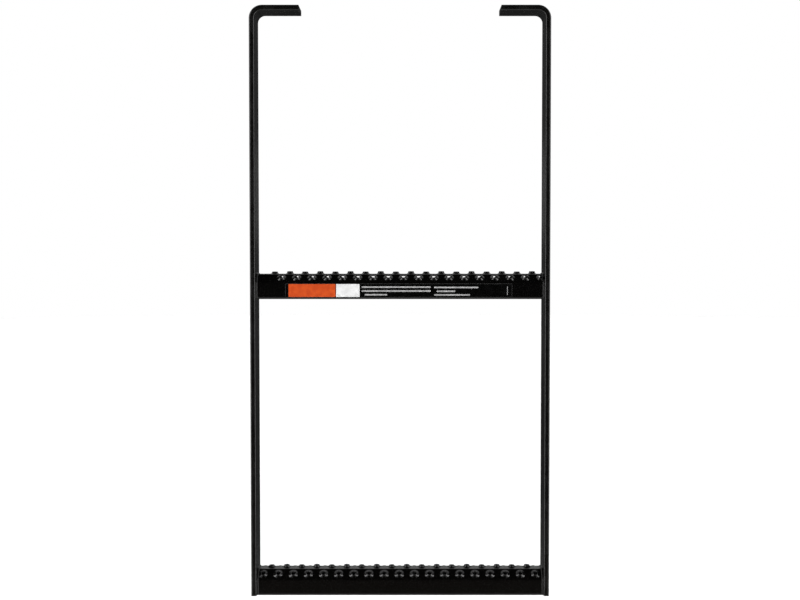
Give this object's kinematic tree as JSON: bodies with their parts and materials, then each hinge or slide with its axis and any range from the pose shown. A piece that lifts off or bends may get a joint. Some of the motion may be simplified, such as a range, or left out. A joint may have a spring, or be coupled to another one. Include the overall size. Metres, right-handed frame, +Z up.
{
  "type": "truck step",
  "caption": "Hanging truck step: flat-bar side rails bent inward at the top and joined by channel treads with raised, holed grip rims.",
  "frame": {"origin": "middle of the left arm's flat top, where the arm bears on what carries the step", "axes": "+Z up, out of the arms' flat tops; +X across the step from the left rail to the right rail; -Y towards the climber"},
  "size_m": [0.4415, 0.0508, 0.8705],
  "materials": {
    "rail_coat": "gloss black powder coat on rolled flat bar",
    "tread_coat": "gloss black powder coat on punched sheet",
    "weld_coat": "rippled weld bead under the same black coat",
    "label_film": "smooth black printed film with plain colour blocks"
  },
  "bodies": {
    "root": {"left_rail": "rail_coat", "right_rail": "rail_coat", "middle_tread": "tread_coat", "bottom_tread": "tread_coat", "middle_left_weld": "weld_coat", "middle_right_weld": "weld_coat", "bottom_left_weld": "weld_coat", "bottom_right_weld": "weld_coat", "tread_label": "label_film"}
  },
  "joints": []
}
